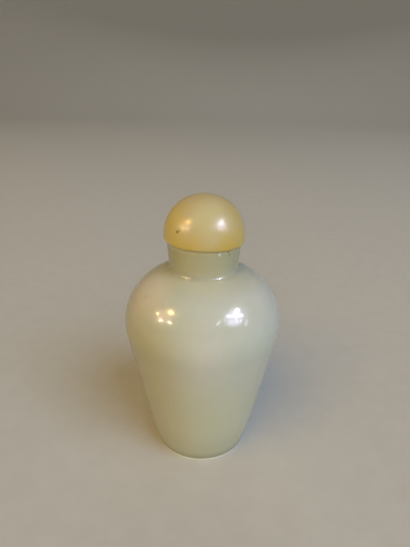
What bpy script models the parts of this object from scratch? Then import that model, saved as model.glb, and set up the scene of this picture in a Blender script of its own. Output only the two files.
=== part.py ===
"""A turned stone snuff bottle: a high-shouldered hollow body, a domed stopper and the cork below it.

Metres, +Z up. The origin is the centre of the foot, on the surface that the bottle stands on.
"""

import math

import bpy

# Body, from the table up
FOOT_RADIUS = 0.0117
FOOT_TUCK = 0.0007  # how far the side curves in at the foot, from the line of the straight taper
FOOT_CURVE_HEIGHT = 0.0119  # where that curve begins
FOOT_EDGE = 0.0003  # rounding of the foot's outer edge
FOOT_RING_WIDTH = 0.0032
FOOT_DISH_DEPTH = 0.0009  # hollow ground into the underside, inside the ring
BELLY_RADIUS = 0.0195
BELLY_HEIGHT = 0.0360  # height of the widest ring
SHOULDER_RADIUS = 0.01404  # the shoulder's arc, seen in section

# Neck and mouth
NECK_HEIGHT = 0.0066  # from where the neck leaves the shoulder to the lip
NECK_FILLET = 0.0011
NECK_FLARE = 0.0004  # how much wider the lip is than the neck's foot
LIP_RADIUS = 0.00886
LIP_EDGE = 0.0004
MOUTH_RADIUS = 0.0037

# Hollow
WALL = 0.0035
FLOOR_THICKNESS = 0.0050  # from the foot's ring to the hollow's floor
HOLLOW_CORNER = 0.0040  # rounding between the floor and the wall

# Stopper
STOPPER_OVERHANG = 0.0008  # past the lip, all round
STOPPER_SIDE = 0.0018  # from its underside up to where the dome begins
STOPPER_RISE = 0.0093  # of the dome, a little less than a half ball's
STOPPER_EDGE = 0.0008
STOPPER_LEAN = math.radians(1.65)  # it sits a little lower on its +X side
SEAT_GAP = 0.0003

# Cork
CORK_LENGTH = 0.0065
CORK_CLEARANCE = 0.0003  # to the mouth's wall and to the stopper
CORK_TAPER = 0.0003  # how much narrower its lower end is
CORK_EDGE = 0.0004

# Finishes: colours are linear, and roughness runs from 0 to 1
PALE_JADE = (0.46, 0.46, 0.36)
HONEY_JADE = (0.55, 0.38, 0.12)
CORK_BROWN = (0.30, 0.17, 0.08)
POLISHED = 0.18
MATT = 0.85

# Facets: sides round the axis, and straight steps along each curve of a profile
BOTTLE_SIDES = 60
STOPPER_SIDES = 48
CORK_SIDES = 24
SHOULDER_STEPS = 16
INNER_SHOULDER_STEPS = 9
DOME_STEPS = 12
CURVE_STEPS = 4  # the neck's fillet, the hollow's corner, the foot's curve and its dish
EDGE_STEPS = 3
MERGE_DISTANCE = 0.000001  # joins the copies of a profile's ends on the axis


def arc(centre, radius, start, end, steps):
    """Points on a circle in the section plane, as (distance from the axis, height)."""
    points = []
    for i in range(steps + 1):
        angle = start + (end - start) * i / steps
        points.append((centre[0] + radius * math.cos(angle), centre[1] + radius * math.sin(angle)))
    return points


def side_angle():
    """How far the straight side leans out from the vertical.

    The side is the line from the foot, before its curve, that just touches the shoulder's arc.
    """
    across = BELLY_RADIUS - SHOULDER_RADIUS - FOOT_RADIUS - FOOT_TUCK
    reach = math.hypot(across, BELLY_HEIGHT)
    return math.atan2(across, BELLY_HEIGHT) + math.asin(SHOULDER_RADIUS / reach)


def shoulder_centre():
    return (BELLY_RADIUS - SHOULDER_RADIUS, BELLY_HEIGHT)


def neck_radius():
    return LIP_RADIUS - NECK_FLARE


def neck_foot():
    """The angle on the shoulder's arc, and the height, where the neck's fillet begins.

    A neck narrower than the arc's centre leaves a flat ring round itself, level with the arc's top.
    """
    centre = shoulder_centre()
    across = max(neck_radius() + NECK_FILLET - centre[0], 0)
    angle = math.acos(across / SHOULDER_RADIUS)
    return angle, centre[1] + SHOULDER_RADIUS * math.sin(angle)


def lip_height():
    return neck_foot()[1] + NECK_HEIGHT


def hollow_profile():
    """From the middle of the hollow's floor up to the mouth."""
    lean = side_angle()
    centre = shoulder_centre()
    inner_shoulder = SHOULDER_RADIUS - WALL
    touch = (centre[0] + inner_shoulder * math.cos(lean), centre[1] - inner_shoulder * math.sin(lean))
    corner_height = FLOOR_THICKNESS + HOLLOW_CORNER
    wall_there = touch[0] - (touch[1] - corner_height) * math.tan(lean)
    corner_centre = (wall_there - HOLLOW_CORNER / math.cos(lean), corner_height)
    # A mouth narrower than the arc's centre leaves a flat ceiling, level with the arc's top.
    ceiling = math.acos(max(MOUTH_RADIUS - centre[0], 0) / inner_shoulder)
    points = [(0, FLOOR_THICKNESS)]
    points += arc(corner_centre, HOLLOW_CORNER, -math.pi / 2, -lean, CURVE_STEPS)
    points += arc(centre, inner_shoulder, -lean, ceiling, INNER_SHOULDER_STEPS)
    points.append((MOUTH_RADIUS, points[-1][1]))
    return points


def lip_profile():
    """From the mouth over the lip to the outer side of the neck."""
    height = lip_height() - LIP_EDGE
    points = arc((MOUTH_RADIUS + LIP_EDGE, height), LIP_EDGE, math.pi, math.pi / 2, EDGE_STEPS)
    points += arc((LIP_RADIUS - LIP_EDGE, height), LIP_EDGE, math.pi / 2, 0, EDGE_STEPS)
    return points


def outer_profile():
    """From the neck's fillet down the shoulder and the side to the foot."""
    lean = side_angle()
    centre = shoulder_centre()
    neck_angle, neck_height = neck_foot()
    fillet_centre = (neck_radius() + NECK_FILLET, neck_height + NECK_FILLET)
    points = arc(fillet_centre, NECK_FILLET, math.pi, math.pi * 1.5, CURVE_STEPS)
    points += arc(centre, SHOULDER_RADIUS, neck_angle, -lean, SHOULDER_STEPS)
    for i in range(CURVE_STEPS + 1):
        height = FOOT_CURVE_HEIGHT + (FOOT_EDGE - FOOT_CURVE_HEIGHT) * i / CURVE_STEPS
        straight = FOOT_RADIUS + FOOT_TUCK + height * math.tan(lean)
        tuck = FOOT_TUCK * (1 - height / FOOT_CURVE_HEIGHT) ** 2
        points.append((straight - tuck, height))
    return points


def foot_profile():
    """From the foot's outer edge under the ring to the middle of the dish."""
    corner = outer_profile()[-1][0]
    points = arc((corner - FOOT_EDGE, FOOT_EDGE), FOOT_EDGE, 0, -math.pi / 2, EDGE_STEPS)
    dish_radius = corner - FOOT_EDGE - FOOT_RING_WIDTH
    ball = (dish_radius**2 + FOOT_DISH_DEPTH**2) / (2 * FOOT_DISH_DEPTH)
    rim = math.atan2(ball - FOOT_DISH_DEPTH, dish_radius)
    points += arc((0, FOOT_DISH_DEPTH - ball), ball, rim, math.pi / 2, CURVE_STEPS)
    points[-1] = (0, FOOT_DISH_DEPTH)
    return points


def stopper_profile():
    """From the top of the dome, down its side and across its flat underside, from its own seat."""
    radius = LIP_RADIUS + STOPPER_OVERHANG
    half_ball = arc((0, 0), radius, math.pi / 2, 0, DOME_STEPS)
    points = [(across, STOPPER_SIDE + up * STOPPER_RISE / radius) for across, up in half_ball]
    points[0] = (0, STOPPER_SIDE + STOPPER_RISE)
    points += arc((radius - STOPPER_EDGE, STOPPER_EDGE), STOPPER_EDGE, 0, -math.pi / 2, EDGE_STEPS)
    points.append((0, 0))
    return points


def cork_profile():
    """From the middle of the cork's top to the middle of its lower end, below the stopper's seat."""
    top_radius = MOUTH_RADIUS - CORK_CLEARANCE
    low_radius = top_radius - CORK_TAPER
    top = -CORK_CLEARANCE
    low = top - CORK_LENGTH
    return [
        (0, top),
        (top_radius, top),
        (low_radius, low + CORK_EDGE),
        (low_radius - CORK_EDGE, low),
        (0, low),
    ]


def without_repeats(points):
    """The same points, without one that lies on the one before it."""
    kept = [points[0]]
    for point in points[1:]:
        if math.dist(point, kept[-1]) > MERGE_DISTANCE:
            kept.append(point)
    return kept


def material(name, colour, roughness):
    made = bpy.data.materials.new(name)
    made.use_nodes = True
    shader = made.node_tree.nodes["Principled BSDF"]
    shader.inputs["Base Color"].default_value = (*colour, 1)
    shader.inputs["Roughness"].default_value = roughness
    shader.inputs["Metallic"].default_value = 0
    made.diffuse_color = (*colour, 1)
    return made


def turned(name, profile, sides, finish, collection):
    """A solid of revolution about its own Z axis. Its profile runs down along the outer side."""
    points = without_repeats(profile)
    edges = [(i, i + 1) for i in range(len(points) - 1)]
    mesh = bpy.data.meshes.new(name)
    mesh.from_pydata([(radius, 0, height) for radius, height in points], edges, [])
    mesh.materials.append(finish)
    made = bpy.data.objects.new(name, mesh)
    collection.objects.link(made)
    screw = made.modifiers.new("Turn", "SCREW")
    screw.axis = "Z"
    screw.angle = 2 * math.pi
    screw.steps = sides
    screw.render_steps = sides
    screw.use_merge_vertices = True
    screw.merge_threshold = MERGE_DISTANCE
    screw.use_smooth_shade = True
    return made


def clear_scene():
    for old in list(bpy.data.objects):
        bpy.data.objects.remove(old)


def main():
    clear_scene()
    collection = bpy.data.collections.new("Snuff bottle")
    bpy.context.scene.collection.children.link(collection)

    pale_stone = material("pale green jade", PALE_JADE, POLISHED)
    honey_stone = material("honey jade", HONEY_JADE, POLISHED)
    cork = material("cork", CORK_BROWN, MATT)

    bottle_profile = hollow_profile() + lip_profile() + outer_profile() + foot_profile()
    turned("bottle", bottle_profile, BOTTLE_SIDES, pale_stone, collection)

    # The stopper leans about the middle of its seat, so the seat is raised until its low side clears the lip.
    seat = bpy.data.objects.new("stopper_seat", None)
    collection.objects.link(seat)
    seat.location.z = lip_height() + SEAT_GAP + LIP_RADIUS * math.sin(STOPPER_LEAN)
    seat.rotation_euler.y = STOPPER_LEAN
    for name, profile, sides, finish in (
        ("stopper", stopper_profile(), STOPPER_SIDES, honey_stone),
        ("stopper_cork", cork_profile(), CORK_SIDES, cork),
    ):
        piece = turned(name, profile, sides, finish, collection)
        piece.parent = seat


main()
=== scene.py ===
# %% [markdown]
# # A jade snuff bottle
# A snuff bottle is a palm-sized flask, ground out of one pebble of nephrite jade and polished until
# it looks wet. A small dome of honey-coloured stone, with a cork glued under it, closes the mouth.
#
# The frame holds the bottle's three solids at their real size: `bottle`, `stopper` and
# `stopper_cork`. Here each of them gets a finer mesh in the same place, and the finish of its stone.

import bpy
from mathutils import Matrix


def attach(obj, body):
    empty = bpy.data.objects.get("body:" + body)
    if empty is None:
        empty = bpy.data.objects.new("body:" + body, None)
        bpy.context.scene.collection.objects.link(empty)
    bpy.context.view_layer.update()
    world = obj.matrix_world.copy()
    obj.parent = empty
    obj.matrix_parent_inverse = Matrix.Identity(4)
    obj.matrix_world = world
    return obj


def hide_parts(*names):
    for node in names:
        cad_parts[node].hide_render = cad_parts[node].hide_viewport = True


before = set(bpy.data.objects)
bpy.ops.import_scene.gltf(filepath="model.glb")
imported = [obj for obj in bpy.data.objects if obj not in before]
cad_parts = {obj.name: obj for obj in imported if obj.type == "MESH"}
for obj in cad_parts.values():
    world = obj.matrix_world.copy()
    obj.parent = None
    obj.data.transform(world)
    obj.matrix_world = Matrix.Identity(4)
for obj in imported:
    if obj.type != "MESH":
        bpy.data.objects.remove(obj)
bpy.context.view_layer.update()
print("nodes:", sorted(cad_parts))

# %% [markdown]
# ## Helpers
# Blender counts in metres and keeps colours linear, but a maker thinks in millimetres and picks
# colours as sRGB hex. MM and linear() translate. add() puts a node into any tree, sets it up,
# links it and hands back the socket that the next node needs, so that a whole node tree reads as a
# list of what each node does.

# %% Units, colours and nodes
import math

import bpy
from mathutils import Matrix, Quaternion, Vector

MM = 0.001


def linear(hex_colour):
    """An sRGB hex colour, such as "#c8c8b4", as linear red, green, blue and alpha."""
    channels = []
    for start in (1, 3, 5):
        value = int(hex_colour[start : start + 2], 16) / 255
        channels.append(value / 12.92 if value <= 0.04045 else ((value + 0.055) / 1.055) ** 2.4)
    return (*channels, 1)


def add(tree, kind, inputs=None, output=0, **settings):
    """Adds a node and returns one of its outputs. An input takes a value, or a socket to link from."""
    made = tree.nodes.new(kind)
    for name, value in settings.items():
        setattr(made, name, value)
    for name, value in (inputs or {}).items():
        if isinstance(value, bpy.types.NodeSocket):
            tree.links.new(value, made.inputs[name])
        else:
            made.inputs[name].default_value = value
    return made.outputs[output] if len(made.outputs) else None


print("one millimetre is", MM, "m, and mid grey is", round(linear("#808080")[0], 3))

# %% [markdown]
# ## The camera
# The photograph was taken from very near with a short lens, looking down at the bottle. That shows in
# its curves: the edge of the stopper, near the lens's own height, is a flat ellipse, and the foot,
# far below it, is a much rounder one. A camera fitted to those curves stands about 13 cm away. The
# picture leans a little too, because the camera was held at a slight roll.

# %% Place the camera
LENS = 29.155  # mm, on a 36 mm sensor
CAMERA_PLACE = Vector((0.38, -100.9, 88.8)) * MM
CAMERA_PITCH = math.radians(22.03)  # below the horizon
CAMERA_ROLL = math.radians(1.10)

lens = bpy.data.cameras.new("Camera")
lens.lens = LENS
lens.sensor_width = 36
lens.clip_start = 1 * MM
lens.clip_end = 100
camera = bpy.data.objects.new("Camera", lens)
bpy.context.scene.collection.objects.link(camera)
tilt = Matrix.Rotation(math.pi / 2 - CAMERA_PITCH, 4, "X") @ Matrix.Rotation(CAMERA_ROLL, 4, "Z")
camera.matrix_world = Matrix.Translation(CAMERA_PLACE) @ tilt
bpy.context.scene.camera = camera
print("camera stands", round(CAMERA_PLACE.length / MM), "mm from the foot")

# %% [markdown]
# ## Light
# Polished stone shows what lights it. The real bottle reflects a cool window on its right side and a
# cluster of four small warm lamps on its left. Their places come from the highlights: where a
# highlight lies on the belly gives the direction that the surface mirrors there. The window's
# highlight has a bright, roughly three-cornered core that ends in faint streaks below, so the window
# is four broad panels with narrow ones under them, amid a wide dim glow. The lamps have a dim haze
# around them too.
#
# Window and lamps show only in the gloss. Large panels that the gloss doesn't show carry the light of
# the room: warm from the left, cool from the right, and a low one in front that reaches under the
# stopper's edge.

# %% Lights around the bottle
AIM = Vector((0, 0, 42)) * MM
bpy.context.scene.view_settings.view_transform = "Standard"


def toward(azimuth, elevation):
    """A direction from the bottle. Azimuth 0 is toward the camera and 90 is to its right."""
    turn = math.radians(azimuth)
    rise = math.radians(elevation)
    return Vector((math.sin(turn) * math.cos(rise), -math.cos(turn) * math.cos(rise), math.sin(rise)))


def soft_light(
    name, azimuth, elevation, size, radiance, colour, distance=0.6, roll=0, gloss=True, body=True
):
    """A panel that faces the bottle and looks equally bright from everywhere in front of it.

    Size and distance are in metres. Gloss and body say whether it shows in the polish and whether it
    lights the stone itself. The watts are those of the panel's whole box, and a round panel packs them
    into 79% of it.
    """
    lamp = bpy.data.lights.new(name, "AREA")
    lamp.shape = "ELLIPSE" if gloss else "RECTANGLE"
    lamp.size, lamp.size_y = size
    lamp.color = linear(colour)[:3]
    lamp.energy = radiance * math.pi * size[0] * size[1]
    panel = bpy.data.objects.new(name, lamp)
    bpy.context.scene.collection.objects.link(panel)
    way = toward(azimuth, elevation)
    panel.location = AIM + way * distance
    panel.rotation_mode = "QUATERNION"
    panel.rotation_quaternion = way.to_track_quat("Z", "Y") @ Quaternion((0, 0, 1), math.radians(roll))
    panel.visible_camera = False
    panel.visible_glossy = gloss
    panel.visible_diffuse = body


# %% Window, lamps and large soft panels
for name, azimuth, elevation, size, radiance in (
    ("window_top", 66.5, 42, (0.075, 0.08), 26),
    ("window_middle", 58, 37, (0.07, 0.07), 28),
    ("window_left", 48, 40, (0.07, 0.055), 14),
    ("window_right", 66.5, 31, (0.07, 0.055), 14),
    ("window_streak_left", 26, 33.5, (0.03, 0.13), 6),
    ("window_streak_middle", 43, 29, (0.025, 0.09), 7),
    ("window_dot", 53, 26, (0.03, 0.03), 16),
    ("window_streak_right", 66.5, 17.5, (0.03, 0.12), 6),
    ("window_pane_left", 47, 27.5, (0.022, 0.1), 8),
    ("window_pane_low", 56, 31, (0.02, 0.12), 8),
    ("window_pane_right", 61, 25, (0.02, 0.08), 8),
):
    soft_light(name, azimuth, elevation, size, radiance, "#e6e6ff", roll=-40, body=False)
soft_light("window_glow", 52, 33, (0.3, 0.28), 2.4, "#d0ceff", body=False)
for name, azimuth, elevation, size, radiance, colour in (
    ("lamp_near_top", -59, 40, (0.072, 0.052), 60, "#ffc46c"),
    ("lamp_far_top", -76, 26.4, (0.058, 0.038), 27, "#ffcc84"),
    ("lamp_far_low", -65, 20.5, (0.036, 0.032), 90, "#ffdcae"),
    ("lamp_near_low", -50.5, 24.5, (0.036, 0.032), 66, "#ffe0b4"),
    ("lamp_haze", -63, 29, (0.26, 0.2), 1.3, "#ffc4ae"),
):
    soft_light(name, azimuth, elevation, size, radiance, colour, body=False)
soft_light("warm_fill", -30, 50, (1.4, 1.4), 3.5, "#ffd46a", distance=2.2, gloss=False)
soft_light("cool_fill", 42, 45, (1.4, 1.4), 5.3, "#bfdcff", distance=2.2, gloss=False)
soft_light("front_fill", 0, 21, (0.9, 0.5), 2.4, "#fff6e4", distance=1.4, gloss=False)
soft_light("back_fill", 175, 35, (1.4, 1.4), 0.8, "#f4f4f0", distance=2.2, gloss=False)

# %% The light of the room
world = bpy.data.worlds.new("Pale studio")
world.use_nodes = True
sky = world.node_tree.nodes["Background"]
sky.inputs["Color"].default_value = linear("#dcdad6")
sky.inputs["Strength"].default_value = 0.11
bpy.context.scene.world = world
print("room light:", sky.inputs["Strength"].default_value)

# %% [markdown]
# ## The bottle's outline
# The lapidary ground the flask on a turning wheel, so its shape is one outline carried round an
# axis. The outline is short to say in a maker's words: a straight taper rises from the foot and
# touches the round shoulder without a corner, and a short neck stands on the shoulder and flares to
# the lip. Each stretch is an arc, a line or a gentle curve worked out from a handful of sizes, so the
# outline can be drawn as finely as wanted. All sizes are in millimetres.

# %% Sizes of the bottle
FOOT_RADIUS = 11.7
FOOT_TUCK = 0.7  # how far the side curves in at the foot, from the line of the taper
FOOT_CURVE_HEIGHT = 11.9
FOOT_EDGE = 0.3
FOOT_BEAD = 0.12  # the fine lip left at the foot's edge when its ring was ground flat
BEAD_TOP = 0.9
FOOT_RING_WIDTH = 3.2
FOOT_DISH_DEPTH = 0.9
BELLY_RADIUS = 19.5
BELLY_HEIGHT = 36.0
SHOULDER_RADIUS = 14.04
NECK_HEIGHT = 6.6
NECK_FILLET = 1.1
NECK_FLARE = 0.4
LIP_RADIUS = 8.86
LIP_EDGE = 0.12  # crisper than the solid's
MOUTH_RADIUS = 3.7
WALL = 3.5
FLOOR_THICKNESS = 5.0
HOLLOW_CORNER = 4.0
BODY_STEP = 0.6  # between points along the body's outline
FINE_STEP = 0.22  # along the neck, the lip and other small curves
SAME_PLACE = 0.001  # points nearer than this are one point


def arc(centre, radius, start, end, step=BODY_STEP):
    """Points on an arc in the section plane, as (distance from the axis, height). Four steps or more."""
    count = max(4, math.ceil(abs(end - start) * radius / step))
    points = []
    for i in range(count + 1):
        angle = start + (end - start) * i / count
        points.append((centre[0] + radius * math.cos(angle), centre[1] + radius * math.sin(angle)))
    return points


def joined(*stretches, step=BODY_STEP):
    """One outline from its arcs, with points along the straight stretches between them."""
    points = list(stretches[0])
    for stretch in stretches[1:]:
        start, end = points[-1], stretch[0]
        count = max(1, math.ceil(math.dist(start, end) / step))
        for i in range(1, count):
            points.append(tuple(a + (b - a) * i / count for a, b in zip(start, end)))
        points += [point for point in stretch if math.dist(point, points[-1]) > SAME_PLACE]
    return points


# %% Where the arcs of the outer side meet
shoulder = (BELLY_RADIUS - SHOULDER_RADIUS, BELLY_HEIGHT)
run_in = shoulder[0] - FOOT_RADIUS - FOOT_TUCK
taper = math.atan2(run_in, BELLY_HEIGHT) + math.asin(SHOULDER_RADIUS / math.hypot(run_in, BELLY_HEIGHT))
neck_radius = LIP_RADIUS - NECK_FLARE
neck_angle = math.acos((neck_radius + NECK_FILLET - shoulder[0]) / SHOULDER_RADIUS)
neck_foot = shoulder[1] + SHOULDER_RADIUS * math.sin(neck_angle)
lip_height = neck_foot + NECK_HEIGHT
neck_top = lip_height - LIP_EDGE


def side_radius(height):
    """The outer side below the shoulder: the straight taper, less the tuck, and the bead at the foot."""
    tuck = FOOT_TUCK * (1 - height / FOOT_CURVE_HEIGHT) ** 2 if height < FOOT_CURVE_HEIGHT else 0
    bead = FOOT_BEAD * (1 - (2 * height / BEAD_TOP - 1) ** 2) if height < BEAD_TOP else 0
    return FOOT_RADIUS + FOOT_TUCK + height * math.tan(taper) - tuck + bead


foot_rise = FOOT_CURVE_HEIGHT - BEAD_TOP
foot_steps = math.ceil(foot_rise / BODY_STEP)
foot_heights = [FOOT_CURVE_HEIGHT - foot_rise * i / foot_steps for i in range(foot_steps)]
bead_steps = math.ceil((BEAD_TOP - FOOT_EDGE) / (FINE_STEP / 2))
foot_heights += [BEAD_TOP + (FOOT_EDGE - BEAD_TOP) * i / bead_steps for i in range(bead_steps + 1)]
print("taper:", round(math.degrees(taper), 1), "degrees, lip at", round(lip_height, 2), "mm")

# %% Draw the hollow, the neck, the side and the foot
inner = SHOULDER_RADIUS - WALL
touch = (shoulder[0] + inner * math.cos(taper), shoulder[1] - inner * math.sin(taper))
corner_height = FLOOR_THICKNESS + HOLLOW_CORNER
corner_radius = touch[0] - (touch[1] - corner_height) * math.tan(taper) - HOLLOW_CORNER / math.cos(taper)
hollow = joined(
    [(0, FLOOR_THICKNESS)],
    arc((corner_radius, corner_height), HOLLOW_CORNER, -math.pi / 2, -taper),
    arc(shoulder, inner, -taper, math.pi / 2),
    [(MOUTH_RADIUS, shoulder[1] + inner)],
)
fillet_centre = (neck_radius + NECK_FILLET, neck_foot + NECK_FILLET)
neck = joined(
    arc((MOUTH_RADIUS + LIP_EDGE, neck_top), LIP_EDGE, math.pi, math.pi / 2, FINE_STEP),
    arc((LIP_RADIUS - LIP_EDGE, neck_top), LIP_EDGE, math.pi / 2, 0, FINE_STEP),
    arc(fillet_centre, NECK_FILLET, math.pi, 1.5 * math.pi, FINE_STEP),
    step=FINE_STEP,
)
edge_radius = side_radius(FOOT_EDGE)
dish_radius = edge_radius - FOOT_EDGE - FOOT_RING_WIDTH
dish_ball = (dish_radius**2 + FOOT_DISH_DEPTH**2) / (2 * FOOT_DISH_DEPTH)
rim_angle = math.atan2(dish_ball - FOOT_DISH_DEPTH, dish_radius)
foot = joined(
    [(side_radius(height), height) for height in foot_heights],
    arc((edge_radius - FOOT_EDGE, FOOT_EDGE), FOOT_EDGE, 0, -math.pi / 2, FINE_STEP),
    arc((0, FOOT_DISH_DEPTH - dish_ball), dish_ball, rim_angle, math.pi / 2)[:-1],
    [(0, FOOT_DISH_DEPTH)],
)
bottle_outline = joined(hollow, neck, arc(shoulder, SHOULDER_RADIUS, neck_angle, -taper), foot)
print(len(bottle_outline), "points in the outline")

# %% [markdown]
# ## A lathe made of Geometry Nodes
# Turning an outline is a rule, so a small node tree does it. The tree lays out a grid with one row
# for each point of the outline and one column for each step of the turn, and moves every grid point
# to where the outline has got to at that step. The seam and the poles are then merged. Stone that is
# ground by hand is never perfectly true, so a soft noise pushes the surface in and out by about a
# hundredth of a millimetre, which is enough to make its reflections waver.

# %% Build the lathe
LATHE_INPUTS = (
    ("Sides", "NodeSocketInt", 240),
    ("Unevenness", "NodeSocketFloat", 0.03 * MM),
    ("Unevenness length", "NodeSocketFloat", 9 * MM),
    ("Seed", "NodeSocketInt", 1),
    ("Stone", "NodeSocketMaterial", None),
)
SEAM_REACH = 0.001 * MM

lathe = bpy.data.node_groups.new("Turned and hand polished", "GeometryNodeTree")
lathe.interface.new_socket("Outline", in_out="INPUT", socket_type="NodeSocketGeometry")
for name, kind, value in LATHE_INPUTS:
    socket = lathe.interface.new_socket(name, in_out="INPUT", socket_type=kind)
    if value is not None:
        socket.default_value = value
lathe.interface.new_socket("Turned", in_out="OUTPUT", socket_type="NodeSocketGeometry")

given = add(lathe, "NodeGroupInput").node.outputs
points = add(lathe, "GeometryNodeAttributeDomainSize", {"Geometry": given["Outline"]}, "Point Count")
columns = add(lathe, "ShaderNodeMath", {0: given["Sides"], 1: 1.0}, operation="ADD")
grid = add(lathe, "GeometryNodeMeshGrid", {"Vertices X": points, "Vertices Y": columns})
index = add(lathe, "GeometryNodeInputIndex")
rows = add(lathe, "ShaderNodeMath", {0: index, 1: columns}, operation="DIVIDE")
row = add(lathe, "ShaderNodeMath", {0: rows}, operation="FLOOR")
column = add(lathe, "ShaderNodeMath", {0: index, 1: columns}, operation="MODULO")
share = add(lathe, "ShaderNodeMath", {0: column, 1: given["Sides"]}, operation="DIVIDE")
angle = add(lathe, "ShaderNodeMath", {0: share, 1: 2 * math.pi}, operation="MULTIPLY")
here = add(lathe, "GeometryNodeInputPosition")
picking = {"Geometry": given["Outline"], "Value": here, "Index": row}
picked = add(lathe, "GeometryNodeSampleIndex", picking, data_type="FLOAT_VECTOR")
around = add(lathe, "ShaderNodeVectorRotate", {"Vector": picked, "Angle": angle}, rotation_type="Z_AXIS")
placed = add(lathe, "GeometryNodeSetPosition", {"Geometry": grid, "Position": around})
closed = add(lathe, "GeometryNodeMergeByDistance", {"Geometry": placed, "Distance": SEAM_REACH})
print(len(lathe.nodes), "nodes turn the outline")

# %% Add the unevenness and the ending
scale = add(lathe, "ShaderNodeMath", {0: 1.0, 1: given["Unevenness length"]}, operation="DIVIDE")
waves = {"Vector": here, "W": given["Seed"], "Scale": scale, "Detail": 1}
wave = add(lathe, "ShaderNodeTexNoise", waves, noise_dimensions="4D")
centred = add(lathe, "ShaderNodeMath", {0: wave, 1: 0.5}, operation="SUBTRACT")
push = add(lathe, "ShaderNodeMath", {0: centred, 1: given["Unevenness"]}, operation="MULTIPLY")
normal = add(lathe, "GeometryNodeInputNormal")
offset = add(lathe, "ShaderNodeVectorMath", {0: normal, "Scale": push}, operation="SCALE")
uneven = add(lathe, "GeometryNodeSetPosition", {"Geometry": closed, "Offset": offset})
smooth = add(lathe, "GeometryNodeSetShadeSmooth", {"Geometry": uneven})
whole = add(lathe, "GeometryNodeRealizeInstances", {"Geometry": smooth})
finished = add(lathe, "GeometryNodeSetMaterial", {"Geometry": whole, "Material": given["Stone"]})
add(lathe, "NodeGroupOutput", {"Turned": finished})
print(len(lathe.nodes), "nodes in the whole lathe")


# %% Use the lathe
def turn(name, outline, finish, sides, unevenness=0.0, seed=1, unit=MM):
    """Turns an outline and returns the finished piece as a plain mesh object."""
    wire = bpy.data.meshes.new(name + "_outline")
    ends = [(i, i + 1) for i in range(len(outline) - 1)]
    wire.from_pydata([(radius * unit, 0, height * unit) for radius, height in outline], ends, [])
    blank = bpy.data.objects.new(name + "_outline", wire)
    bpy.context.scene.collection.objects.link(blank)
    modifier = blank.modifiers.new("Lathe", "NODES")
    modifier.node_group = lathe
    values = {"Sides": sides, "Unevenness": unevenness * unit, "Seed": seed, "Stone": finish}
    for item in lathe.interface.items_tree:
        if item.name in values:
            modifier[item.identifier] = values[item.name]
    evaluated = blank.evaluated_get(bpy.context.evaluated_depsgraph_get())
    mesh = bpy.data.meshes.new_from_object(evaluated)
    bpy.data.objects.remove(blank)
    bpy.data.meshes.remove(wire)
    mesh.name = name
    piece = bpy.data.objects.new(name, mesh)
    bpy.context.scene.collection.objects.link(piece)
    return piece


def volume(mesh):
    """The volume inside a closed mesh, in cubic millimetres: positive if its faces point outwards."""
    mesh.calc_loop_triangles()
    total = 0
    for triangle in mesh.loop_triangles:
        a, b, c = (mesh.vertices[i].co for i in triangle.vertices)
        total += a.dot(b.cross(c))
    return total / 6 / MM**3


# %% [markdown]
# ## How a finish starts
# Every finish here is a Principled shader fed by patterns in the piece's own Object coordinates. A
# vector node first turns those metres into millimetres, so that each pattern can be given its real
# size. Most patterns are one idea: noise of a certain size, stretched so that it runs from 0 to 1.

# %% Start a finish
SOFT = {"interpolation_type": "SMOOTHSTEP"}  # settings for a step without a hard start or end
TINT = {"data_type": "RGBA"}  # settings for a mix of colours: inputs 0, 6 and 7, output 2


def finish_of(name):
    """A new material: its node tree, its shader node, and a place on the piece in millimetres."""
    made = bpy.data.materials.new(name)
    made.use_nodes = True
    tree = made.node_tree
    own = add(tree, "ShaderNodeTexCoord", output="Object")
    place = add(tree, "ShaderNodeVectorMath", {0: own, "Scale": 1 / MM}, operation="SCALE")
    return made, tree, tree.nodes["Principled BSDF"], place


def pattern(tree, place, size, spread=0.35, detail=2, roughness=0.5, seed=0.0):
    """Soft blotches of one size in millimetres, from 0 to 1. A smaller spread makes them harder."""
    waves = {"Vector": place, "W": seed, "Scale": 1 / size, "Detail": detail, "Roughness": roughness}
    noise = add(tree, "ShaderNodeTexNoise", waves, noise_dimensions="4D")
    return add(tree, "ShaderNodeMapRange", {0: noise, 1: 0.5 - spread, 2: 0.5 + spread}, **SOFT)


print("patterns count in millimetres: a metre is", round(1 / MM), "of their units")

# %% [markdown]
# ## Pale jade
# Nephrite is a felt of tiny fibres. It takes a soft, waxy polish, and light sinks a few millimetres
# into it before it comes back, so shadows melt and edges glow. That is subsurface scattering, with
# red going a little further than blue. The stone isn't even: pale clouds the size of a thumbnail
# drift through it, cottony flecks are a few millimetres across, and the fibres show as a faint grain.
# Painted shade makes the neck and the lower body darker and browner, and the neck's sides darker still.
# Painted warm light makes the left side warmer and lightens the left shoulder, and the lip's top edge
# has a painted glow. A near-white painted line along the foot's edge, which was ground flat and matt,
# stands in for the light that the edge catches. The lip has two small chips, with a painted highlight
# beside them.
#
# The gloss has two parts. The base reflection is broad, from the fibres' uneven hardness under the
# polish. A thin coat gives the sharp core of each highlight. The polish also leaves a shallow
# undercut, like orange peel, that breaks the edges of the reflections.

# %% Pale jade
jade, tree, shader, place = finish_of("Nephrite jade, ground and wax polished")
shader.inputs["IOR"].default_value = 1.61
shader.inputs["Subsurface Weight"].default_value = 1.0
shader.inputs["Subsurface Radius"].default_value = (1.0, 0.95, 0.75)
shader.inputs["Subsurface Scale"].default_value = 2.5 * MM
shader.inputs["Coat Weight"].default_value = 0.5
shader.inputs["Coat Roughness"].default_value = 0.06
shader.inputs["Coat IOR"].default_value = 1.6

across = add(tree, "ShaderNodeSeparateXYZ", {0: place}, "X")
height = add(tree, "ShaderNodeSeparateXYZ", {0: place}, "Z")
clouds = pattern(tree, place, 14, spread=0.3, seed=2)
flecks = pattern(tree, place, 3.5, seed=5)
grain = {"Vector": place, "Rotation": (0.3, 0.2, 0.5), "Scale": (1, 1, 0.22)}
stretched = add(tree, "ShaderNodeMapping", grain)  # upright, and about five times as long as wide
fibres = pattern(tree, stretched, 0.8, seed=8)

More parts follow.
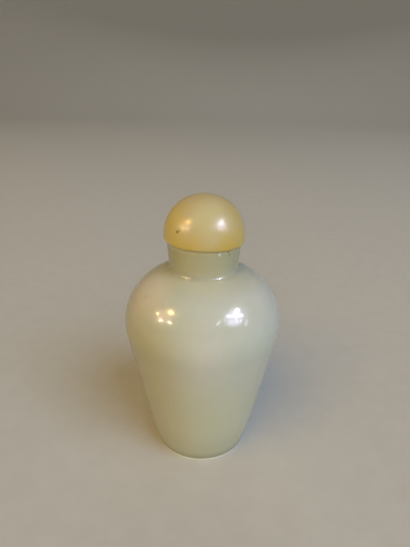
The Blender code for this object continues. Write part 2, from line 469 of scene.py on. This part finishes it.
colour = add(tree, "ShaderNodeMix", {0: clouds, 6: linear("#c3cabb"), 7: linear("#d3d0c9")}, 2, **TINT)
few = add(tree, "ShaderNodeMapRange", {0: flecks, 4: 0.25})
colour = add(tree, "ShaderNodeMix", {0: few, 6: colour, 7: linear("#d5d4c8")}, 2, **TINT)
faint = add(tree, "ShaderNodeMapRange", {0: fibres, 4: 0.1})
colour = add(tree, "ShaderNodeMix", {0: faint, 6: colour, 7: linear("#b9bda0")}, 2, **TINT)
print(len(tree.nodes), "nodes colour the body")

# %% Painted shade low down, and painted warm light on the left
LOW_START = 38  # height where the painted shade begins, darker and browner on the way down
FOOT_START = 13

# Painted shade: the body is darker and browner towards the foot.
in_low = add(tree, "ShaderNodeMapRange", {0: height, 1: LOW_START, 2: FOOT_START}, **SOFT)
colour = add(tree, "ShaderNodeMix", {0: in_low, 6: colour, 7: linear("#c7c8ae")}, 2, **TINT)
# Painted warm light: the left side below the shoulder is warmer and browner.
on_left = add(tree, "ShaderNodeMapRange", {0: across, 1: 1, 2: -14}, **SOFT)
below = add(tree, "ShaderNodeMapRange", {0: height, 1: 54, 2: 32}, **SOFT)
warm_light_left = add(tree, "ShaderNodeMath", {0: on_left, 1: below}, operation="MULTIPLY")
colour = add(tree, "ShaderNodeMix", {0: warm_light_left, 6: colour, 7: linear("#bdb486")}, 2, **TINT)
# More painted shade in the foot.
in_foot = add(tree, "ShaderNodeMapRange", {0: height, 1: FOOT_START, 2: 0, 4: 0.5}, **SOFT)
colour = add(tree, "ShaderNodeMix", {0: in_foot, 6: colour, 7: linear("#b0ad8c")}, 2, **TINT)
print("browner below", LOW_START, "mm, and more so below", FOOT_START, "mm")

# %% The neck's painted shade, and painted warm light on its left
NECK_BLEND = 8  # how far the neck's painted shade fades into the shoulder

# Painted shade: the neck is darker and browner under the stopper, and darker still at its sides.
neck_steps = {0: height, 1: neck_foot - NECK_BLEND / 2, 2: neck_foot + NECK_BLEND / 2}
in_neck = add(tree, "ShaderNodeMapRange", neck_steps, **SOFT)
beside = add(tree, "ShaderNodeMath", {0: across}, operation="ABSOLUTE")
beside = add(tree, "ShaderNodeMapRange", {0: beside, 1: 4, 2: LIP_RADIUS}, **SOFT)
neck_shade_colour = add(tree, "ShaderNodeMix", {0: beside, 6: linear("#b9b592"), 7: linear("#adab88")}, 2, **TINT)
colour = add(tree, "ShaderNodeMix", {0: in_neck, 6: colour, 7: neck_shade_colour}, 2, **TINT)
# Painted warm light on the left of the neck.
neck_left = add(tree, "ShaderNodeMath", {0: on_left, 1: in_neck}, operation="MULTIPLY")
warmer = {0: neck_left, 6: colour, 7: linear("#fffad6")}
colour = add(tree, "ShaderNodeMix", warmer, 2, blend_type="MULTIPLY", **TINT)
painted_lip_glow = add(tree, "ShaderNodeMapRange", {0: height, 1: lip_height - 0.5, 2: lip_height, 4: 0.6}, **SOFT)
# Painted light: a paler, warmer glow on the lip's top edge lightens the shade under the stopper.
colour = add(tree, "ShaderNodeMix", {0: painted_lip_glow, 6: colour, 7: linear("#d6cea0")}, 2, **TINT)
print("browner again from", round(neck_foot - NECK_BLEND / 2, 1), "mm up")

# %% A painted light line along the foot's edge, and a darker band above it
RING_TOP = 0.8  # height of the painted light line along the foot's edge, which was ground flat
BAND_TOP = 3.5

in_band = add(tree, "ShaderNodeMapRange", {0: height, 1: BAND_TOP, 2: RING_TOP, 4: 0.85}, **SOFT)
colour = add(tree, "ShaderNodeMix", {0: in_band, 6: colour, 7: linear("#9a9d7e")}, 2, **TINT)
# Painted light: the near-white line stands in for the light that the foot's edge catches.
on_ring = add(tree, "ShaderNodeMapRange", {0: height, 1: RING_TOP, 2: RING_TOP - 0.2}, **SOFT)
colour = add(tree, "ShaderNodeMix", {0: on_ring, 6: colour, 7: linear("#f0f0e6")}, 2, **TINT)
print("paler line up to", RING_TOP, "mm, and a darker band up to", BAND_TOP, "mm")

# %% Small marks in the pale jade
LIP_CHIPS = (((5.6, -6.9, 56.1), 0.55), ((5.85, -6.6, 55.2), 0.4))  # places and sizes
MARKS = (  # place, size, share and colour
    ((-12.5, -8.5, 46.5), 9, 0.55, "#e2d1b8"),  # painted warm light on the left shoulder
    (*LIP_CHIPS[0], 0.55, "#6f7152"),
    (*LIP_CHIPS[1], 0.4, "#6f7152"),
    ((3.6, -8.1, 55.8), 0.55, 0.8, "#f2f2e4"),  # a painted highlight on the lip's edge
    ((-13.0, -8.9, 45.5), 0.8, 0.22, "#9c9570"),  # a faint spot on the left shoulder
)
for mark_place, size, most, mark_colour in MARKS:
    away = add(tree, "ShaderNodeVectorMath", {0: place, 1: mark_place}, "Value", operation="DISTANCE")
    inside = add(tree, "ShaderNodeMapRange", {0: away, 1: size, 2: size * 0.3, 4: most}, **SOFT)
    colour = add(tree, "ShaderNodeMix", {0: inside, 6: colour, 7: linear(mark_colour)}, 2, **TINT)
tree.links.new(colour, shader.inputs["Base Color"])
print(len(MARKS), "marks on the pale jade")

# %% Polish of the pale jade
ORANGE_PEEL = 1.3  # size of the undercut's cells

smudges = pattern(tree, place, 7, detail=1, seed=11)
polish = add(tree, "ShaderNodeMapRange", {0: smudges, 3: 0.19, 4: 0.26})
ring_polish = add(tree, "ShaderNodeMix", {0: on_ring, 2: polish, 3: 0.6})
tree.links.new(ring_polish, shader.inputs["Roughness"])
sinking = add(tree, "ShaderNodeMapRange", {0: on_ring, 3: 1, 4: 0})  # no light sinks into the ring
tree.links.new(sinking, shader.inputs["Subsurface Weight"])
peel = pattern(tree, place, ORANGE_PEEL, detail=1, seed=14)
normal = add(tree, "ShaderNodeBump", {"Distance": 0.006 * MM, "Height": peel})
felt = pattern(tree, stretched, 0.5, seed=17)
normal = add(tree, "ShaderNodeBump", {"Distance": 0.0004 * MM, "Height": felt, "Normal": normal})
tree.links.new(normal, shader.inputs["Normal"])
print(len(tree.nodes), "nodes in", jade.name)

# %% [markdown]
# ## Honey jade
# The stopper is a second stone. It is the same nephrite with iron in it, which stains it honey. The
# stain is uneven: milky over the front, amber low down and yellower toward its sides. The crown's
# deeper honey is partly painted shade, where less light reaches the top, and the left side's extra
# yellow is painted warm light from the left. One small dark inclusion sits just under the surface.
# Its polish is softer than the bottle's.

# %% Sizes of the stopper
STOPPER_OVERHANG = 0.8
STOPPER_SIDE = 1.8
STOPPER_RISE = 9.3
STOPPER_EDGE = 0.8
STOPPER_LEAN = math.radians(1.65)
SEAT_GAP = 0.3
stopper_radius = LIP_RADIUS + STOPPER_OVERHANG
seat_height = lip_height + SEAT_GAP + LIP_RADIUS * math.sin(STOPPER_LEAN)
seat = Matrix.Translation((0, 0, seat_height * MM)) @ Matrix.Rotation(STOPPER_LEAN, 4, "Y")
print("seat of the stopper at", round(seat_height, 2), "mm")

# %% Honey jade
honey, tree, shader, place = finish_of("Honey jade, ground and satin polished")
shader.inputs["IOR"].default_value = 1.61
shader.inputs["Subsurface Weight"].default_value = 1.0
shader.inputs["Subsurface Radius"].default_value = (1.0, 0.8, 0.4)
shader.inputs["Subsurface Scale"].default_value = 2.5 * MM
shader.inputs["Coat Weight"].default_value = 0.5
shader.inputs["Coat Roughness"].default_value = 0.22
shader.inputs["Coat IOR"].default_value = 1.6

across = add(tree, "ShaderNodeSeparateXYZ", {0: place}, "X")
height = add(tree, "ShaderNodeSeparateXYZ", {0: place}, "Z")
clouds = pattern(tree, place, 7, spread=0.3, seed=21)
flecks = pattern(tree, place, 2.4, seed=24)
drift = add(tree, "ShaderNodeMapRange", {0: clouds, 3: -0.25, 4: 0.25})
print("the crown is", round(seat_height + STOPPER_SIDE + STOPPER_RISE, 1), "mm up")

# %% The stain, from the low rim and the sides, with painted light and shade
STAIN_RISE = 6

in_low = add(tree, "ShaderNodeMapRange", {0: height, 1: seat_height + STAIN_RISE, 2: seat_height}, **SOFT)
in_low = add(tree, "ShaderNodeMath", {0: in_low, 1: drift}, operation="ADD", use_clamp=True)
# Above the amber the colour is a deeper honey; on the crown that is partly painted shade.
colour = add(tree, "ShaderNodeMix", {0: in_low, 6: linear("#c6b080"), 7: linear("#d0b040")}, 2, **TINT)
# The left side's larger share is painted warm light from the left.
on_left = add(tree, "ShaderNodeMapRange", {0: across, 1: -2, 2: -9, 4: 0.75}, **SOFT)
on_right = add(tree, "ShaderNodeMapRange", {0: across, 1: 4, 2: 9.5, 4: 0.4}, **SOFT)
stain_and_warm_light_at_sides = add(tree, "ShaderNodeMath", {0: on_left, 1: on_right}, operation="ADD")
colour = add(tree, "ShaderNodeMix", {0: stain_and_warm_light_at_sides, 6: colour, 7: linear("#dbc760")}, 2, **TINT)
print("amber fades over the lowest", STAIN_RISE, "mm")

# %% The milky cloud and the flecks
MILKY_PLACE = (0.5, -9.0, 63.5)
MILKY_SIZE = 8.5

milk = add(tree, "ShaderNodeVectorMath", {0: place, 1: MILKY_PLACE}, "Value", operation="DISTANCE")
ragged = add(tree, "ShaderNodeMapRange", {0: clouds, 3: -1.5, 4: 1.5})
milk = add(tree, "ShaderNodeMath", {0: milk, 1: ragged}, operation="ADD")
milk = add(tree, "ShaderNodeMapRange", {0: milk, 1: MILKY_SIZE, 2: 1, 4: 0.85}, **SOFT)
colour = add(tree, "ShaderNodeMix", {0: milk, 6: colour, 7: linear("#cdc69c")}, 2, **TINT)
few = add(tree, "ShaderNodeMapRange", {0: flecks, 4: 0.2})
colour = add(tree, "ShaderNodeMix", {0: few, 6: colour, 7: linear("#dccb9a")}, 2, **TINT)
print("the milky cloud fades out", MILKY_SIZE, "mm from its middle")

# %% The inclusion and its tail
INCLUSIONS = (((-5.9, -7.2, 60.6), 0.5, 0.85), ((-5.5, -7.45, 61.0), 0.4, 0.4))  # place, size, share

torn = add(tree, "ShaderNodeTexNoise", {"Vector": place, "Scale": 2.2, "Detail": 1})
torn = add(tree, "ShaderNodeMapRange", {0: torn, 1: 0.3, 2: 0.7, 3: -0.12, 4: 0.12})
for inclusion_place, size, most in INCLUSIONS:
    away = add(tree, "ShaderNodeVectorMath", {0: place, 1: inclusion_place}, "Value", operation="DISTANCE")
    away = add(tree, "ShaderNodeMath", {0: away, 1: torn}, operation="ADD")
    inside = add(tree, "ShaderNodeMapRange", {0: away, 1: size, 2: size * 0.4, 4: most}, **SOFT)
    colour = add(tree, "ShaderNodeMix", {0: inside, 6: colour, 7: linear("#80641a")}, 2, **TINT)
tree.links.new(colour, shader.inputs["Base Color"])
print("the inclusion and its tail are", len(INCLUSIONS), "spots")

# %% Polish of the honey jade
smudges = pattern(tree, place, 5, detail=1, seed=27)
polish = add(tree, "ShaderNodeMapRange", {0: smudges, 3: 0.3, 4: 0.36})
tree.links.new(polish, shader.inputs["Roughness"])
peel = pattern(tree, place, 1.1, detail=1, seed=30)
normal = add(tree, "ShaderNodeBump", {"Distance": 0.005 * MM, "Height": peel})
tree.links.new(normal, shader.inputs["Normal"])
print(len(tree.nodes), "nodes in", honey.name)

# %% [markdown]
# ## Cork
# Cork is bark: a foam of closed cells, cut and sanded to a plug. Dark pores, the bark's breathing
# holes, run through it, and its cut faces are matt and finely pitted.

# %% Cork
cork, tree, shader, place = finish_of("Natural cork, cut and sanded")
grain = pattern(tree, place, 0.5, detail=4, roughness=0.7, seed=31)
pores = add(tree, "ShaderNodeTexVoronoi", {"Vector": place, "Scale": 1 / 1.1}, feature="F1")
pits = add(tree, "ShaderNodeMapRange", {0: pores, 1: 0.28, 2: 0.12}, **SOFT)
colour = add(tree, "ShaderNodeMix", {0: grain, 6: linear("#b98d5e"), 7: linear("#d0a878")}, 2, **TINT)
colour = add(tree, "ShaderNodeMix", {0: pits, 6: colour, 7: linear("#6a4527")}, 2, **TINT)
tree.links.new(colour, shader.inputs["Base Color"])
dull = add(tree, "ShaderNodeMapRange", {0: grain, 3: 0.75, 4: 0.92})
tree.links.new(dull, shader.inputs["Roughness"])
normal = add(tree, "ShaderNodeBump", {"Distance": 0.06 * MM, "Height": grain})
solid = add(tree, "ShaderNodeMapRange", {0: pits, 3: 1, 4: 0})
normal = add(tree, "ShaderNodeBump", {"Distance": 0.15 * MM, "Height": solid, "Normal": normal})
tree.links.new(normal, shader.inputs["Normal"])
print(len(tree.nodes), "nodes in", cork.name)

# %% [markdown]
# ## Turn the pieces
# The bottle's outline goes through the lathe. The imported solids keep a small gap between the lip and
# the stopper, but the real stopper rests on the lip. So the fine bottle's lip is drawn up to meet the
# stopper's leaning underside: the pull grows from nothing at the foot of the neck to the full gap at
# the lip, which leaves the neck's side straight. Two chips are then pressed into the lip.

# %% Turn the bottle and seat its lip
HAND_GROUND = 0.05  # the span of the stones' unevenness
REST_GAP = 0.02  # just enough for the unevenness of the two faces
CHIP_DEPTH = 0.2

bottle = turn("bottle_stone", bottle_outline, jade, sides=288, unevenness=HAND_GROUND, seed=4)
pull_start = neck_foot + NECK_FILLET
for vertex in bottle.data.vertices:
    height = vertex.co.z / MM
    share = min(max((height - pull_start) / (lip_height - pull_start), 0), 1)
    underside = seat_height - vertex.co.x / MM * math.tan(STOPPER_LEAN)
    vertex.co.z += share * (underside - REST_GAP - lip_height) * MM
    for chip_place, size in LIP_CHIPS:
        near = 1 - (vertex.co / MM - Vector(chip_place)).length / size
        if near > 0:
            vertex.co -= Vector((vertex.co.x, vertex.co.y, 0)).normalized() * CHIP_DEPTH * near * MM
print("bottle:", len(bottle.data.polygons), "faces,", round(volume(bottle.data)), "mm3")

# %% Turn the stopper
half_ball = arc((0, 0), stopper_radius, math.pi / 2, 0)[1:]
stopper_outline = joined(
    [(0, STOPPER_SIDE + STOPPER_RISE)],
    [(out, STOPPER_SIDE + up * STOPPER_RISE / stopper_radius) for out, up in half_ball],
    arc((stopper_radius - STOPPER_EDGE, STOPPER_EDGE), STOPPER_EDGE, 0, -math.pi / 2, FINE_STEP),
    [(0, 0)],
)
stopper = turn("stopper_stone", stopper_outline, honey, sides=240, unevenness=HAND_GROUND, seed=9)
stopper.data.transform(seat)
print("stopper:", len(stopper.data.polygons), "faces,", round(volume(stopper.data)), "mm3")

# %% [markdown]
# ## The cork plug
# The plug is turned too, and it is a little more uneven than the stones. It ends in a small rounded
# edge and reaches up to the stopper, where it is glued.

# %% Turn the cork
CORK_LENGTH = 6.5
CORK_CLEARANCE = 0.3
CORK_TAPER = 0.3
CORK_EDGE = 0.4
cork_radius = MOUTH_RADIUS - CORK_CLEARANCE
cork_low = -CORK_CLEARANCE - CORK_LENGTH
low_radius = cork_radius - CORK_TAPER - CORK_EDGE
cork_outline = joined(
    [(0, -REST_GAP), (cork_radius, -REST_GAP)],
    arc((low_radius, cork_low + CORK_EDGE), CORK_EDGE, 0, -math.pi / 2, FINE_STEP),
    [(0, cork_low)],
    step=FINE_STEP,
)
plug = turn("cork_plug", cork_outline, cork, sides=96, unevenness=0.08, seed=12)
plug.data.transform(seat)
print("cork:", len(plug.data.polygons), "faces,", round(volume(plug.data)), "mm3")

# %% [markdown]
# ## The floor
# The bottle stands on a sheet of pale paper. Far away the sheet curves up into a wall all round, as
# a photographer's sweep does, which keeps the horizon soft from any side. It is one more turned
# shape, in metres. Paper is matt and slightly fibrous.

# %% Paper sweep
FLAT_RADIUS = 1.6
SWEEP_RADIUS = 1.2
WALL_TOP = 2.4

paper, tree, shader, place = finish_of("Matt paper")
fibres = pattern(tree, place, 6, detail=5, roughness=0.7, seed=41)
colour = add(tree, "ShaderNodeMix", {0: fibres, 6: linear("#bcb8b0"), 7: linear("#c3bfb8")}, 2, **TINT)
tree.links.new(colour, shader.inputs["Base Color"])
dull = add(tree, "ShaderNodeMapRange", {0: fibres, 3: 0.86, 4: 0.95})
tree.links.new(dull, shader.inputs["Roughness"])
normal = add(tree, "ShaderNodeBump", {"Distance": 0.05 * MM, "Height": fibres})
tree.links.new(normal, shader.inputs["Normal"])

sweep = arc((FLAT_RADIUS, SWEEP_RADIUS), SWEEP_RADIUS, 0, -math.pi / 2, step=0.1)
sweep_outline = [(FLAT_RADIUS + SWEEP_RADIUS, WALL_TOP)] + sweep + [(0, 0)]
floor = turn("floor", sweep_outline, paper, sides=96, unit=1)
floor.data.flip_normals()
print("floor:", len(floor.data.polygons), "faces")

# %% [markdown]
# ## Hand over to the frame
# Each fine piece rides on the part's one body and stands in for its imported solid.

# %% Ride and replace
for piece, node, slot in (
    (bottle, "bottle", "pale_jade"),
    (stopper, "stopper", "honey_jade"),
    (plug, "stopper_cork", "cork"),
):
    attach(piece, "root")
    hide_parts(node)
    print(piece.name, "stands in for", node)
